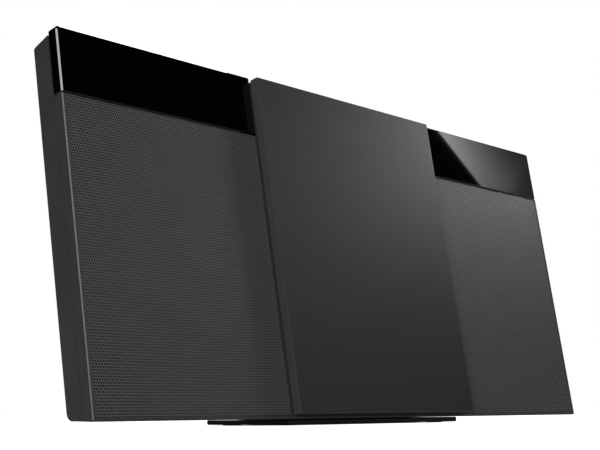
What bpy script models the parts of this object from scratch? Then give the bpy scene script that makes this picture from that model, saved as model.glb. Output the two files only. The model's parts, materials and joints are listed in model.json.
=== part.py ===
"""A slim mini hifi system: two speaker panels, a sliding disc door, a sloping cabinet and a flat stand.

The cabinet leans back. Everything in it is placed in a leaning frame whose origin is the middle of the
front face's bottom edge: x runs to the right, y into the cabinet and z up along the face. The stand is
placed in an upright frame with the same origin in x and y and with its z = 0 on the table.
Sizes are in millimetres and become metres through MM.
"""

import math

import bmesh
import bpy
from mathutils import Vector

MM = 0.001

# Driving dimensions, mm and degrees.
WIDTH = 400.0            # overall width of the cabinet
FACE_HEIGHT = 190.0      # height of the front, measured along the leaning face
LEAN = 10.13             # backward lean of the face
FRAME_DEPTH = 7.0        # depth of the front frame
FRAME_EDGE = 0.5         # chamfer of the frame's two upright front edges
SLAB_DEPTH = 19.0        # depth of the slim cabinet that shows from the side
BULGE_DEPTH = 62.0       # depth of the deep middle of the cabinet
DOOR_WIDTH = 150.0       # width of the sliding door
DOOR_THICKNESS = 5.5     # thickness of the door
DOOR_GAP = 0.5           # air between the door and the front face
WINDOW_HEIGHT = 34.0     # height of the gloss window strips
WINDOW_CORNER = 1.8      # radius of a window's outer top corner
BASE_WIDTH = 146.0       # width of the stand's plate
BASE_FRONT = 6.0         # distance of the plate's front edge behind the front face
BASE_DEPTH = 64.0        # depth of the stand's plate
BASE_THICKNESS = 2.8     # thickness of the stand's plate
FOOT_HEIGHT = 0.3        # height of the rubber feet
FOOT_GAP = 0.1           # air between a foot and the plate
BODY_CLEARANCE = 0.2     # air between the plate and the cabinet above it
DRIVER_RADIUS = 34.0     # outer radius of the loudspeaker's flange
RADIATOR_RADIUS = 25.0   # outer radius of the passive radiator's frame
DISC_RADIUS = 60.0       # radius of the disc that the bay takes
WALL = 2.2               # wall of the moulded cabinet
GAP = 0.3                # gap kept between pieces that rest on each other
BUTTON_NAMES = ("power", "source", "previous", "play", "next", "volume_down", "volume_up")
BUTTON_PITCH = 18.0
BUTTON_TRAVEL = 0.5

# Sizes that follow from the driving dimensions.
HALF = WIDTH / 2
DOOR_HALF = DOOR_WIDTH / 2
PANEL_WIDTH = HALF - DOOR_HALF
DOOR_TRAVEL = PANEL_WIDTH
PANEL_X = DOOR_HALF + PANEL_WIDTH / 2
WINDOW_BOTTOM = FACE_HEIGHT - WINDOW_HEIGHT
FRAME_TOP = FACE_HEIGHT - 2.6
COS_LEAN = math.cos(math.radians(LEAN))
SIN_LEAN = math.sin(math.radians(LEAN))
BASE_BOTTOM = FOOT_HEIGHT + FOOT_GAP
BASE_TOP = BASE_BOTTOM + BASE_THICKNESS
BODY_LIFT = BASE_TOP + BODY_CLEARANCE
UNDER_SLOPE = math.tan(math.radians(LEAN)) + 0.02    # rise of the underside, so that it lies level

# Grille openings and sheets.
GRILLE_BORDER = 1.2
GRILLE_BOTTOM = 2.1
GRILLE_RECESS = 0.3
GRILLE_SHEET = 0.8
SHEET_BACK = GRILLE_RECESS + GRILLE_SHEET + GAP
GRILLE_LEDGE = 2.0

# Door rails, shoes, rack and pinion.
BAY_HALF = DOOR_HALF - 1.5
BAY_BOTTOM = 5.0
BAY_TOP = FACE_HEIGHT - 14.0
RAIL_RADIUS = 1.5
RAIL_Y = 10.5
RAIL_LOW_Z = BAY_BOTTOM + 7.0
RAIL_HIGH_Z = BAY_TOP - 7.0
SHOE_LENGTH = 60.0
SHOE_HALF_HEIGHT = 4.0
SHOE_FRONT = FRAME_DEPTH + 0.6
SHOE_BACK = 13.5
NECK_LENGTH = 7.0
RUN_CLEARANCE = 0.3
RACK_MODULE = 0.8
RACK_BOTTOM = RAIL_LOW_Z + SHOE_HALF_HEIGHT + GAP
RACK_PITCH_Z = RACK_BOTTOM + 3.5
RACK_FRONT = 8.0
RACK_BACK = 11.0
PINION_TEETH = 16
PINION_RADIUS = PINION_TEETH * RACK_MODULE / 2
PINION_Z = RACK_PITCH_Z + PINION_RADIUS + 0.1
PINION_X = DOOR_TRAVEL - BAY_HALF + 2.0

# Disc bay and mechanism.
TRAY_BOTTOM = BAY_BOTTOM + 19.0
TRAY_TOP = BAY_TOP - 16.0
TRAY_FRONT = 3.0
TRAY_PLATE = 2.0
RECESS_RADIUS = DISC_RADIUS + 0.8
RECESS_WALL = 1.2
RECESS_FLOOR = 13.5
FLOOR_THICKNESS = 1.5
DISC_X_LEFTMOST = RECESS_RADIUS + RECESS_WALL - BAY_HALF + 0.5
DISC_X = max(DISC_X_LEFTMOST, min(0.0, DOOR_TRAVEL - DOOR_HALF - DISC_RADIUS - 1.0))
DISC_Z = (TRAY_BOTTOM + TRAY_TOP) / 2
HUB_HOLE = 16.5
SPINDLE_MOTOR_RADIUS = 11.0
SLED_RADIUS = 22.0
SLED_TRAVEL = 34.0
LENS_RADIUS = 3.0
SLED_HALF_WIDTH = 20.0
SLED_HEIGHT = 22.0
ROD_RADIUS = 1.2
ROD_Y = 21.5
ROD_OFFSET = 14.0
SCREW_OFFSET = 27.0
SCREW_RADIUS = 1.6
CHASSIS_FRONT = 28.0
CHASSIS_BACK = 29.5

# Stations along the depth.
BOARD_FRONT = 40.0
BOARD_BACK = 41.6
SPEAKER_FRONT = FRAME_DEPTH + 0.4


def material(name, colour, roughness, metallic=0.0):
    """A Principled material with one colour, roughness and metallic value."""
    made = bpy.data.materials.new(name)
    made.use_nodes = True
    shader = made.node_tree.nodes["Principled BSDF"]
    shader.inputs["Base Color"].default_value = (*colour, 1.0)
    shader.inputs["Roughness"].default_value = roughness
    shader.inputs["Metallic"].default_value = metallic
    return made


def empty(name, parent=None, location=(0, 0, 0), rotation=(0, 0, 0)):
    """An empty that carries parts, at a place given in mm."""
    made = bpy.data.objects.new(name, None)
    PARTS.objects.link(made)
    made.parent = parent
    made.location = Vector(location) * MM
    made.rotation_euler = rotation
    return made


def add_object(name, mesh, mat, parent, location, rotation=(0, 0, 0)):
    """An object in the parts collection, at a place given in mm."""
    made = bpy.data.objects.new(name, mesh)
    PARTS.objects.link(made)
    mesh.materials.append(mat)
    made.parent = parent
    made.location = Vector(location) * MM
    made.rotation_euler = rotation
    return made


def mesh_from(name, bm):
    """Turns a bmesh in mm into a mesh in metres with its faces pointing out."""
    bmesh.ops.recalc_face_normals(bm, faces=bm.faces[:])
    bmesh.ops.scale(bm, vec=(MM, MM, MM), verts=bm.verts[:])
    mesh = bpy.data.meshes.new(name)
    bm.to_mesh(mesh)
    bm.free()
    return mesh


def bevel(obj, width, segments=2, angle=40):
    """Rounds the sharp edges of an object by a width in mm."""
    mod = obj.modifiers.new("edge", "BEVEL")
    mod.width = width * MM
    mod.segments = segments
    mod.limit_method = "ANGLE"
    mod.angle_limit = math.radians(angle)
    return obj


def box(name, mat, x, y, z, parent, edge=0.0):
    """A box from its spans (low, high) along x, y and z."""
    bm = bmesh.new()
    bmesh.ops.create_cube(bm, size=1.0)
    size = [high - low for low, high in (x, y, z)]
    bmesh.ops.scale(bm, vec=size, verts=bm.verts[:])
    middle = [(low + high) / 2 for low, high in (x, y, z)]
    obj = add_object(name, mesh_from(name, bm), mat, parent, middle)
    return bevel(obj, edge) if edge else obj


AXIS_TURN = {"x": (0, math.pi / 2, 0), "y": (-math.pi / 2, 0, 0), "z": (0, 0, 0)}


def cylinder(name, mat, radius, length, start, axis, parent, sides=32):
    """A cylinder that runs from its start for its length along x, y or z."""
    bm = bmesh.new()
    bmesh.ops.create_cone(bm, cap_ends=True, segments=sides, radius1=radius, radius2=radius, depth=length)
    bmesh.ops.translate(bm, vec=(0, 0, length / 2), verts=bm.verts[:])
    obj = add_object(name, mesh_from(name, bm), mat, parent, start, AXIS_TURN[axis])
    obj.data.shade_smooth()
    obj.data.set_sharp_from_angle(angle=math.radians(40))
    return obj


def turned(name, mat, profile, place, parent, closed=False, steps=32):
    """A profile of (radius, height) turned about an axis whose height points to the front."""
    mesh = bpy.data.meshes.new(name)
    points = [(radius * MM, 0, height * MM) for radius, height in profile]
    edges = [(i, i + 1) for i in range(len(points) - 1)]
    if closed:
        edges.append((len(points) - 1, 0))
    mesh.from_pydata(points, edges, [])
    obj = add_object(name, mesh, mat, parent, place, (math.pi / 2, 0, 0))
    mod = obj.modifiers.new("turn", "SCREW")
    mod.steps = steps
    mod.render_steps = steps
    mod.use_merge_vertices = True
    mod.merge_threshold = 0.00001
    mod.use_smooth_shade = True
    return obj


def prism(name, mat, outline, span, axis, parent):
    """An outline extruded along one axis: (y, z) points along x, (x, z) along y, or (x, y) along z."""
    bm = bmesh.new()
    low, high = span
    if axis == "x":
        verts = [bm.verts.new((low, a, b)) for a, b in outline]
        way = Vector((high - low, 0, 0))
    elif axis == "y":
        verts = [bm.verts.new((a, low, b)) for a, b in outline]
        way = Vector((0, high - low, 0))
    else:
        verts = [bm.verts.new((a, b, low)) for a, b in outline]
        way = Vector((0, 0, high - low))
    face = bm.faces.new(verts)
    grown = bmesh.ops.extrude_face_region(bm, geom=[face])
    moved = [item for item in grown["geom"] if isinstance(item, bmesh.types.BMVert)]
    bmesh.ops.translate(bm, vec=way, verts=moved)
    return add_object(name, mesh_from(name, bm), mat, parent, (0, 0, 0))


def rounded_section(x_half, z_low, z_high, radius, y, steps=4):
    """The points of a rounded rectangle at one depth, anticlockwise seen from the front."""
    points = []
    corners = (
        (x_half - radius, z_low + radius, -90),
        (x_half - radius, z_high - radius, 0),
        (radius - x_half, z_high - radius, 90),
        (radius - x_half, z_low + radius, 180),
    )
    for cx, cz, start in corners:
        for step in range(steps + 1):
            turn = math.radians(start + 90 * step / steps)
            points.append((cx + radius * math.cos(turn), y, cz + radius * math.sin(turn)))
    return points


def loft(name, mat, sections, parent):
    """A closed solid through sections that have the same number of points."""
    bm = bmesh.new()
    rings = [[bm.verts.new(point) for point in section] for section in sections]
    for ring, following in zip(rings, rings[1:]):
        for i, vert in enumerate(ring):
            j = (i + 1) % len(ring)
            bm.faces.new((vert, ring[j], following[j], following[i]))
    bm.faces.new(rings[0])
    bm.faces.new(rings[-1])
    return add_object(name, mesh_from(name, bm), mat, parent, (0, 0, 0))


def as_tool(obj):
    """Moves an object to the cutters' collection and hides it from the result."""
    PARTS.objects.unlink(obj)
    CUTTERS.objects.link(obj)
    obj.hide_render = True
    obj.display_type = "WIRE"
    return obj


def combine(target, tool, operation):
    """Adds a Boolean step with a tool object to a target."""
    mod = target.modifiers.new(tool.name, "BOOLEAN")
    mod.operation = operation
    mod.solver = "EXACT"
    mod.object = as_tool(tool)
    return target


def cut(target, tool):
    """Takes a tool's shape away from a target."""
    return combine(target, tool, "DIFFERENCE")


def add(target, tool):
    """Joins a tool's shape to a target."""
    return combine(target, tool, "UNION")


def mirrored(side, low, high):
    """A span in x on the left (-1) or right (+1) side, given as distances from the middle."""
    return (side * high, side * low) if side < 0 else (low, high)


def top_z(y):
    """Height of the cabinet's sloping top at a depth."""
    return FRAME_TOP + 0.1 - (y - FRAME_DEPTH) * 0.2


def under_z(y):
    """Height of the cabinet's underside at a depth."""
    return y * UNDER_SLOPE


def bulge_under_z(y):
    """Height of the deep middle's underside at a depth."""
    return 9.5 + y * UNDER_SLOPE


SIDES = (("left", -1), ("right", 1))


def make_front_frame(body):
    """The moulded front frame: borders of both grilles, ledges for the windows and the disc bay's edge."""
    chamfer = 1.0
    outline = [
        (0, chamfer),
        (chamfer, under_z(chamfer)),
        (FRAME_DEPTH, under_z(FRAME_DEPTH)),
        (FRAME_DEPTH, FRAME_TOP),
        (0, FRAME_TOP),
    ]
    frame = prism("front_frame", MOULDING, outline, (-HALF, HALF), "x", body)
    for label, side in SIDES:
        inner, outer = DOOR_HALF + GRILLE_BORDER, HALF - GRILLE_BORDER
        recess = (GRILLE_BOTTOM, WINDOW_BOTTOM - GAP)
        span = mirrored(side, inner, outer)
        cut(frame, box("cut_recess_" + label, MOULDING, span, (-1, SHEET_BACK), recess, body))
        inner, outer = inner + GRILLE_LEDGE, outer - GRILLE_LEDGE
        through = (recess[0] + GRILLE_LEDGE, recess[1] - GRILLE_LEDGE)
        tool = box("cut_speaker_" + label, MOULDING, mirrored(side, inner, outer), (1, 9), through, body)
        cut(frame, tool)
        ledge = (WINDOW_BOTTOM - GAP, FACE_HEIGHT + 1)
        span = mirrored(side, DOOR_HALF - GAP, HALF + 1)
        cut(frame, box("cut_window_" + label, MOULDING, span, (-1, 2.9), ledge, body))
        span = mirrored(side, HALF - 2.4, HALF + 1)
        cut(frame, box("cut_wrap_" + label, MOULDING, span, (-1, 9), ledge, body))
        corner = [(HALF - FRAME_EDGE - 1, -1), (HALF + 1, -1), (HALF + 1, FRAME_EDGE + 1)]
        corner = [(side * x, y) for x, y in corner]
        cut(frame, prism("cut_edge_" + label, MOULDING, corner, (-1, FACE_HEIGHT + 1), "z", body))
    cut(frame, box("cut_bay", MOULDING, (-BAY_HALF, BAY_HALF), (-1, 9), (BAY_BOTTOM, BAY_TOP), body))
    cut(frame, box("cut_display", MOULDING, DISPLAY_CUT_X, (2, 9), DISPLAY_CUT_Z, body))
    for label, rail_z in (("low", RAIL_LOW_Z), ("high", RAIL_HIGH_Z)):
        tall = (rail_z - SHOE_HALF_HEIGHT, rail_z + SHOE_HALF_HEIGHT - 0.4)
        for end, span in (("start", RAIL_START_BOSS), ("end", RAIL_END_BOSS)):
            name = "boss_" + label + "_" + end
            add(frame, box(name, MOULDING, span, (FRAME_DEPTH - 0.5, SHOE_BACK), tall, body))
    web = (GRILLE_BOTTOM, RAIL_LOW_Z)
    add(frame, box("boss_web", MOULDING, RAIL_END_BOSS, (2.5, FRAME_DEPTH), web, body))
    return frame


def make_windows(body):
    """The gloss window strips, which wrap round the cabinet's ends and stand a little above its top."""
    for label, side in SIDES:
        name = "window_" + label
        centre_x, centre_z = HALF - WINDOW_CORNER, FACE_HEIGHT - WINDOW_CORNER
        outline = [(side * DOOR_HALF, WINDOW_BOTTOM), (side * HALF, WINDOW_BOTTOM)]
        for step in range(5):
            turn = math.radians(90 * step / 4)
            reach = centre_x + WINDOW_CORNER * math.cos(turn)
            outline.append((side * reach, centre_z + WINDOW_CORNER * math.sin(turn)))
        outline.append((side * DOOR_HALF, FACE_HEIGHT))
        window = prism(name, GLOSS, outline, (0, FRAME_DEPTH), "y", body)
        hollow = mirrored(side, DOOR_HALF - 1, HALF - 2.1)
        hollow_z = (WINDOW_BOTTOM - 1, FRAME_TOP + GAP)
        bevel(window, 0.7, segments=1)
        cut(window, box("cut_" + name, GLOSS, hollow, (2.6, FRAME_DEPTH + 1), hollow_z, body))


def make_grilles(body):
    """The perforated steel sheets in front of the speakers."""
    for label, side in SIDES:
        span = mirrored(side, DOOR_HALF + GRILLE_BORDER + GAP, HALF - GRILLE_BORDER - GAP)
        tall = (GRILLE_BOTTOM + GAP, WINDOW_BOTTOM - GAP)
        box("grille_" + label, STEEL, span, (GRILLE_RECESS, GRILLE_RECESS + GRILLE_SHEET), tall, body)


def make_mid_cabinet(body):
    """The slim cabinet behind the frame, open to the front, with an opening for the deep middle."""
    front, back, corner = FRAME_DEPTH + GAP, SLAB_DEPTH, 4.5
    outline = [(front, under_z(front)), (back - corner, under_z(back - corner))]
    centre_y, centre_z = back - corner, under_z(back - corner) + corner
    for step in range(1, 5):
        turn = math.radians(90 * step / 5)
        outline.append((centre_y + corner * math.sin(turn), centre_z - corner * math.cos(turn)))
    outline += [(back, centre_z), (back, top_z(back) - 0.8)]
    outline += [(back - 0.8, top_z(back - 0.8)), (front, top_z(front))]
    cabinet = prism("mid_cabinet", MOULDING, outline, (-HALF, HALF), "x", body)
    inside = [
        (front - 1, under_z(front - 1) + WALL),
        (back - corner, under_z(back - corner) + WALL),
        (back - WALL, centre_z),
        (back - WALL, top_z(back - WALL) - WALL),
        (front - 1, top_z(front - 1) - WALL),
    ]
    span = (WALL - HALF, HALF - WALL)
    cut(cabinet, prism("cut_slab_inside", MOULDING, inside, span, "x", body))
    opening = rounded_section(BULGE_HALF - 3.5, BULGE_OPEN_Z[0], BULGE_OPEN_Z[1], 11.0, back - 6)
    far = [(x, back + 3, z) for x, _, z in opening]
    cut(cabinet, loft("cut_bulge_opening", MOULDING, [opening, far], body))
    for index in range(len(BUTTON_NAMES)):
        x = button_x(index)
        hole = (x - BUTTON_HALF - 0.35, x + BUTTON_HALF + 0.35)
        slot = (BUTTON_Y[0] - 0.35, BUTTON_Y[1] + 0.35)
        tool = box("cut_button_" + BUTTON_NAMES[index], MOULDING, hole, slot, BUTTON_SLOT_Z, body)
        cut(cabinet, tool)


def bulge_sections(shrink):
    """Sections of the deep middle from its rim to its back, shrunk inwards by a wall."""
    depth = BULGE_DEPTH - SLAB_DEPTH
    front = SLAB_DEPTH + GAP
    shape = ((0.0, 0.0, 0.0), (0.5, 6.0, 4.0), (0.9, 16.0, 11.0), (1.0, 21.0, 15.0))
    sections = []
    for share, in_x, in_top in shape:
        y = front + (depth - GAP) * share
        rise = 4.0 if share == 1.0 else 0.0
        low = bulge_under_z(y) + rise + shrink
        high = BULGE_TOP - in_top - shrink
        depth_here = y - shrink if share == 1.0 else y
        if share == 0.0 and shrink:
            depth_here = y - 1.0
        radius = 14.0 - shrink
        sections.append(rounded_section(BULGE_HALF - in_x - shrink, low, high, radius, depth_here))
    return sections


def make_rear_cover(body):
    """The deep rear cover over the speakers' magnets, the boards and the disc mechanism."""
    cover = loft("rear_cover", MOULDING, bulge_sections(0.0), body)
    cut(cover, loft("cut_rear_inside", MOULDING, bulge_sections(WALL), body))
    for name, (x, z, radius, _, _) in ROUND_JACKS.items():
        start = (x, BULGE_DEPTH - 5, z)
        cut(cover, cylinder("cut_" + name, MOULDING, radius + RUN_CLEARANCE, 8, start, "y", body, 24))
    x, z = USB_PLACE
    span = (x - USB_HALF[0] - RUN_CLEARANCE, x + USB_HALF[0] + RUN_CLEARANCE)
    tall = (z - USB_HALF[1] - RUN_CLEARANCE, z + USB_HALF[1] + RUN_CLEARANCE)
    cut(cover, box("cut_usb", MOULDING, span, (BULGE_DEPTH - 5, BULGE_DEPTH + 3), tall, body))


def make_door(body):
    """The sliding door: an outer shell, an inner plate, two shoes on the rails and the drive rack."""
    slide = empty("door_slide", body)
    front, back = -DOOR_GAP - DOOR_THICKNESS, -DOOR_GAP
    tall = (2.0, FACE_HEIGHT - 1.7)
    panel = box("door_panel", SATIN, (-DOOR_HALF, DOOR_HALF), (front, back), tall, slide)
    rim = 2.0
    inner_x = (rim - DOOR_HALF, DOOR_HALF - rim)
    inner_z = (tall[0] + rim, tall[1] - rim)
    cut(panel, box("cut_door_inside", SATIN, inner_x, (front + 2.2, back + 1), inner_z, slide))
    bevel(panel, 0.4)
    liner_x = (inner_x[0] + GAP, inner_x[1] - GAP)
    liner_z = (inner_z[0] + GAP, inner_z[1] - GAP)
    box("door_liner", MOULDING, liner_x, (back - 2.1, back - GAP), liner_z, slide)
    for label, rail_z in (("upper", RAIL_HIGH_Z), ("lower", RAIL_LOW_Z)):
        start = GAP - BAY_HALF
        tall = (rail_z - SHOE_HALF_HEIGHT, rail_z + SHOE_HALF_HEIGHT)
        span = (start, start + SHOE_LENGTH)
        shoe = box("door_shoe_" + label, NYLON, span, (SHOE_FRONT, SHOE_BACK), tall, slide)
        tall = (rail_z - SHOE_HALF_HEIGHT + 1, rail_z + SHOE_HALF_HEIGHT - 1)
        span = (start, start + NECK_LENGTH)
        neck = box("neck_" + label, NYLON, span, (back + GAP, SHOE_FRONT + 1), tall, slide)
        add(shoe, neck)
        bore_start = (start - 1, RAIL_Y, rail_z)
        bore_radius = RAIL_RADIUS + RUN_CLEARANCE
        tool = cylinder("bore_" + label, NYLON, bore_radius, SHOE_LENGTH + 2, bore_start, "x", slide, 24)
        cut(shoe, tool)
    make_rack(slide)


def make_rack(slide):
    """A straight rack on the lower shoe, with a tooth gap under the pinion's lowest tooth."""
    pitch = math.pi * RACK_MODULE
    start, end = GAP - BAY_HALF, GAP - BAY_HALF + DOOR_TRAVEL + 3.0
    root, tip = RACK_PITCH_Z - 1.1, RACK_PITCH_Z + 0.8
    root_half, tip_half = 0.30 * pitch, 0.12 * pitch
    outline = [(start, RACK_BOTTOM), (end, RACK_BOTTOM), (end, root)]
    first = math.floor((end - root_half - PINION_X) / pitch - 0.5)
    last = math.ceil((start + root_half - PINION_X) / pitch - 0.5)
    for count in range(first, last - 1, -1):
        middle = PINION_X + (count + 0.5) * pitch
        outline += [(middle + root_half, root), (middle + tip_half, tip)]
        outline += [(middle - tip_half, tip), (middle - root_half, root)]
    outline.append((start, root))
    prism("door_rack", NYLON, outline, (RACK_FRONT, RACK_BACK), "y", slide)


def gear_outline(teeth, module):
    """The outline of a spur gear with straight tooth sides, a tooth pointing down."""
    points = []
    root, tip = module * (teeth / 2 - 1.15), module * (teeth / 2 + 0.8)
    for tooth in range(teeth):
        middle = -90 + 360 * tooth / teeth
        step = 360 / teeth
        for radius, shift in ((root, -0.28), (tip, -0.11), (tip, 0.11), (root, 0.28)):
            turn = math.radians(middle + shift * step)
            points.append((radius * math.cos(turn), radius * math.sin(turn)))
    return points


def make_door_drive(body):
    """The two steel rails, the pinion on its axle and the small motor that turns it."""
    start, length = RAIL_START_BOSS[1] + GAP, RAIL_END_BOSS[0] - RAIL_START_BOSS[1] - 2 * GAP
    for label, rail_z in (("upper", RAIL_HIGH_Z), ("lower", RAIL_LOW_Z)):
        cylinder("door_rail_" + label, BRIGHT, RAIL_RADIUS, length, (start, RAIL_Y, rail_z), "x", body, 20)
    pinion_turn = empty("pinion_turn", body, (PINION_X, 0, PINION_Z))
    outline = gear_outline(PINION_TEETH, RACK_MODULE)
    prism("door_pinion", NYLON, outline, (RACK_FRONT, RACK_BACK), "y", pinion_turn)
    place = (PINION_X, RACK_BACK + GAP, PINION_Z)
    motor = cylinder("door_motor", BRIGHT, 9.0, 16.0, place, "y", body, 28)
    bevel(motor, 0.8)


def make_bay(body):
    """The moulded tray of the disc bay, with its round recess, hub hole and pickup slot."""
    span = (GAP - BAY_HALF, BAY_HALF - GAP)
    plate = (TRAY_FRONT, TRAY_FRONT + TRAY_PLATE)
    tray = box("bay_tray", MOULDING, span, plate, (TRAY_BOTTOM, TRAY_TOP), body)
    cup_start = (DISC_X, TRAY_FRONT + 0.5, DISC_Z)
    cup_length = RECESS_FLOOR + FLOOR_THICKNESS - TRAY_FRONT - 0.5
    add(tray, cylinder("cup", MOULDING, RECESS_RADIUS + RECESS_WALL, cup_length, cup_start, "y", body, 64))
    start = (DISC_X, TRAY_FRONT - 2, DISC_Z)
    depth = RECESS_FLOOR - TRAY_FRONT + 2
    cut(tray, cylinder("cut_disc", MOULDING, RECESS_RADIUS, depth, start, "y", body, 64))
    start = (DISC_X, RECESS_FLOOR - 2, DISC_Z)
    cut(tray, cylinder("cut_hub", MOULDING, HUB_HOLE, FLOOR_THICKNESS + 4, start, "y", body, 32))
    slot_x = (DISC_X - 8, DISC_X + 8)
    slot_z = (DISC_Z - SLED_RADIUS - SLED_TRAVEL - LENS_RADIUS - 0.6, DISC_Z - HUB_HOLE + 3)
    cut(tray, box("cut_pickup", MOULDING, slot_x, (RECESS_FLOOR - 1, RECESS_FLOOR + 4), slot_z, body))


def make_disc_drive(body):
    """The chassis, spindle motor and turntable, and the pickup sled on its rods and feed screw."""
    rod_low = DISC_Z - SLED_RADIUS - SLED_TRAVEL - SLED_HEIGHT / 2 - 6
    rod_high = DISC_Z - SPINDLE_MOTOR_RADIUS - 1.0
    chassis_x = (DISC_X - SCREW_OFFSET - 8, DISC_X + SLED_HALF_WIDTH + 6)
    chassis_z = (rod_low, DISC_Z + 20)
    box("disc_chassis", STEEL, chassis_x, (CHASSIS_FRONT, CHASSIS_BACK), chassis_z, body)
    motor_front = RECESS_FLOOR + FLOOR_THICKNESS + 1.3
    place = (DISC_X, motor_front, DISC_Z)
    length = CHASSIS_FRONT - GAP - motor_front
    cylinder("spindle_motor", BRIGHT, SPINDLE_MOTOR_RADIUS, length, place, "y", body, 32)

    spin = empty("turntable_spin", body, (DISC_X, motor_front - GAP, DISC_Z))
    profile = [(0, 8.4), (5.5, 8.4), (7.4, 6.6), (7.4, 4.4), (15.0, 4.4)]
    profile += [(15.0, 3.0), (4.0, 3.0), (4.0, 0), (0, 0)]
    turned("turntable", MOULDING, profile, (0, 0, 0), spin)

    slide = empty("sled_slide", body, (DISC_X, ROD_Y, DISC_Z - SLED_RADIUS))
    span = (-ROD_OFFSET - 5, SLED_HALF_WIDTH)
    tall = (-SLED_HEIGHT / 2 - 4, SLED_HEIGHT / 2 - 4)
    sled = box("pickup_sled", NYLON, span, (-4.2, 4.2), tall, slide)
    finger = (-SCREW_OFFSET + SCREW_RADIUS + 0.4, span[0] + 1)
    add(sled, box("screw_follower", NYLON, finger, (-2, 2), (tall[0], tall[0] + 5), slide))
    for label, x in (("left", -ROD_OFFSET), ("right", ROD_OFFSET)):
        radius = ROD_RADIUS + RUN_CLEARANCE
        start = (x, 0, tall[0] - 1)
        cut(sled, cylinder("bore_sled_" + label, NYLON, radius, SLED_HEIGHT + 2, start, "z", slide, 20))
        start = (DISC_X + x, ROD_Y, rod_low)
        cylinder("guide_rod_" + label, BRIGHT, ROD_RADIUS, rod_high - rod_low, start, "z", body, 20)
    focus = empty("lens_focus", slide, (0, -4.2 - GAP, 0))
    lens = [(0, 2.0), (LENS_RADIUS - 1.2, 1.7), (LENS_RADIUS, 0.9), (LENS_RADIUS, 0), (0, 0)]
    turned("pickup_lens", GLASS, lens, (0, 0, 0), focus, steps=24)

    screw_x = DISC_X - SCREW_OFFSET
    screw_turn = empty("feed_screw_turn", body, (screw_x, ROD_Y, rod_low))
    screw_length = rod_high - rod_low - 14
    cylinder("feed_screw", BRIGHT, SCREW_RADIUS, screw_length, (0, 0, 0), "z", screw_turn, 20)
    start = (screw_x, ROD_Y, rod_low + screw_length + GAP)
    cylinder("feed_motor", BRIGHT, 5.6, 13.5, start, "z", body, 24)


def make_speakers(body):
    """On each side a loudspeaker above a passive radiator, each a frame and a moving cone."""
    radius, lip = DRIVER_RADIUS, DRIVER_RADIUS - 4
    frame = [(0, -17.5), (lip - 14, -17.5), (lip - 0.5, -3), (lip, 0), (radius, 0), (radius, -2)]
    frame += [(radius - 2, -2.5), (20.5, -16.5), (20.5, -29), (0, -29)]
    cone = [(0, -7.5), (6, -8.6), (9, -11.8), (lip - 3.2, -1.2), (lip - 2.5, -1.8)]
    cone += [(9.8, -13.4), (9.0, -14.5), (0, -14.5)]
    outer, inner = RADIATOR_RADIUS, RADIATOR_RADIUS - 4
    ring = [(outer, 0), (outer, -5), (inner, -5), (inner, 0)]
    plate = [(0, -0.8), (inner - 2, -0.8), (inner - 0.6, -1.4), (inner - 0.6, -3), (0, -3)]
    for label, side in SIDES:
        place = (side * PANEL_X, SPEAKER_FRONT, DRIVER_Z)
        turned("driver_frame_" + label, STEEL, frame, place, body)
        cone_slide = empty("driver_cone_slide_" + label, body, place)
        turned("driver_cone_" + label, PAPER, cone, (0, 0, 0), cone_slide)
        place = (side * PANEL_X, SPEAKER_FRONT, RADIATOR_Z)
        turned("radiator_frame_" + label, STEEL, ring, place, body, closed=True)
        plate_slide = empty("radiator_slide_" + label, body, place)
        turned("radiator_cone_" + label, PAPER, plate, (0, 0, 0), plate_slide)


def make_electronics(body):
    """The display behind the left window, the circuit boards, the heat sink and the rear jacks."""
    inset = 0.8
    span = (DISPLAY_CUT_X[0] + inset, DISPLAY_CUT_X[1] - inset)
    tall = (DISPLAY_CUT_Z[0] + inset, DISPLAY_CUT_Z[1] - inset)
    box("display_module", GLASS, span, (3.2, 8.6), tall, body)
    span = (DISPLAY_CUT_X[0] - 3, DISPLAY_CUT_X[1] + 3)
    box("display_board", BOARD, span, (8.6 + GAP, 10.5), (DISPLAY_CUT_Z[0] - 1, DISPLAY_CUT_Z[1] + 1), body)
    board_x, split = (-62, 62), DISC_Z + 18
    box("main_board", BOARD, board_x, (BOARD_FRONT, BOARD_BACK), (30, split), body)
    box("amplifier_board", BOARD, board_x, (BOARD_FRONT, BOARD_BACK), (split + 3, TRAY_TOP - 10), body)
    sink_z = (split + 8, TRAY_TOP - 14)
    box("heat_sink", BRIGHT, (-40, 40), (BOARD_BACK + GAP, BOARD_BACK + 11), sink_z, body)
    half = len(BUTTON_NAMES) * BUTTON_PITCH / 2
    box("button_board", BOARD, (-half, half), (8.6, 15.6), (BUTTON_BOARD_TOP - 1.5, BUTTON_BOARD_TOP), body)
    length = BULGE_DEPTH + 0.5 - BOARD_BACK - GAP
    for name, (x, z, radius, bore, pin) in ROUND_JACKS.items():
        profile = [(0, length), (radius, length), (radius, 0), (bore, 0), (bore, 9)]
        profile += [(pin, 9), (pin, 1.5), (0, 1.5)] if pin else [(0, 9)]
        turned(name, GLOSS, profile, (x, BULGE_DEPTH + 0.5, z), body, steps=24)
    x, z = USB_PLACE
    span, tall = (x - USB_HALF[0], x + USB_HALF[0]), (z - USB_HALF[1], z + USB_HALF[1])
    usb = box("usb_port", BRIGHT, span, (BOARD_BACK + GAP, BULGE_DEPTH + 0.5), tall, body)
    shell = 0.5
    slot_x, slot_z = (span[0] + shell, span[1] - shell), (tall[0] + shell, tall[1] - shell)
    cut(usb, box("cut_usb_slot", BRIGHT, slot_x, (BULGE_DEPTH - 11, BULGE_DEPTH + 1), slot_z, body))
    tongue_x, tongue_z = (span[0] + 1.4, span[1] - 1.4), (z - 0.2, z + 1.8)
    add(usb, box("usb_tongue", BRIGHT, tongue_x, (BULGE_DEPTH - 12, BULGE_DEPTH - 1), tongue_z, body))


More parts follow.
